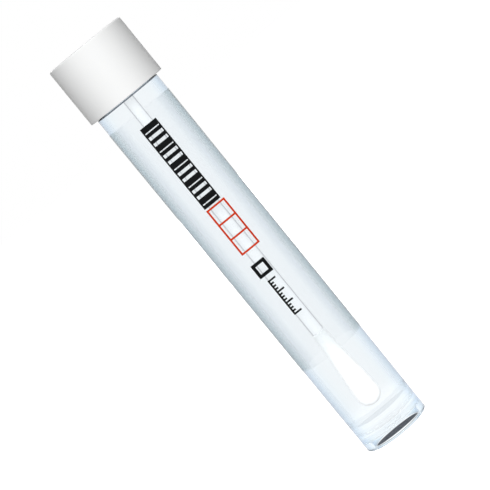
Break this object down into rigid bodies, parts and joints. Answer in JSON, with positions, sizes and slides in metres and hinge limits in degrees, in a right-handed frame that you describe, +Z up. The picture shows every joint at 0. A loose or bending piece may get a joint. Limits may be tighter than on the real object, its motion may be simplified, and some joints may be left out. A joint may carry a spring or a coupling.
{
  "type": "specimen swab tube",
  "caption": "Clear self-standing specimen tube with a white screw cap, a foam-tipped swab hung from the cap, a film label and a pool of transport medium.",
  "frame": {"origin": "centre of the annular rim that the tube stands on", "axes": "+Z up along the tube's axis to the cap, -Y out of the printed side of the label, +X to the right of a person who reads the tube upright from that side"},
  "size_m": [0.0192, 0.0192, 0.1072],
  "materials": {
    "clear_plastic": "clear, polished moulding with a faint blue cast",
    "medium": "clear liquid",
    "clear_film": "clear film, slightly hazy",
    "black_ink": "flat printed ink",
    "orange_ink": "flat printed ink",
    "soft_seal": "soft, matt",
    "white_plastic": "smooth satin moulding",
    "swab_plastic": "smooth satin moulding",
    "foam": "fine open foam"
  },
  "bodies": {
    "tube_body": {"tube": "clear_plastic", "transport_medium": "medium", "label": "clear_film", "print_bar_field": "black_ink", "print_cell_frame": "orange_ink", "print_square": "black_ink", "print_scale": "black_ink"},
    "seal": {"seal_ring": "soft_seal"},
    "closure": {"cap": "white_plastic", "swab_shaft": "swab_plastic", "swab_bud": "foam"}
  },
  "joints": [
    {"name": "cap_lift", "type": "slide", "parent": "tube_body", "child": "seal", "axis": [0, 0, 1], "range_m": [0, 0.105]},
    {"name": "cap_turn", "type": "hinge", "parent": "seal", "child": "closure", "pos_m": [0, 0, 0.1], "axis": [0, 0, 1], "range_deg": [0, 540]}
  ]
}
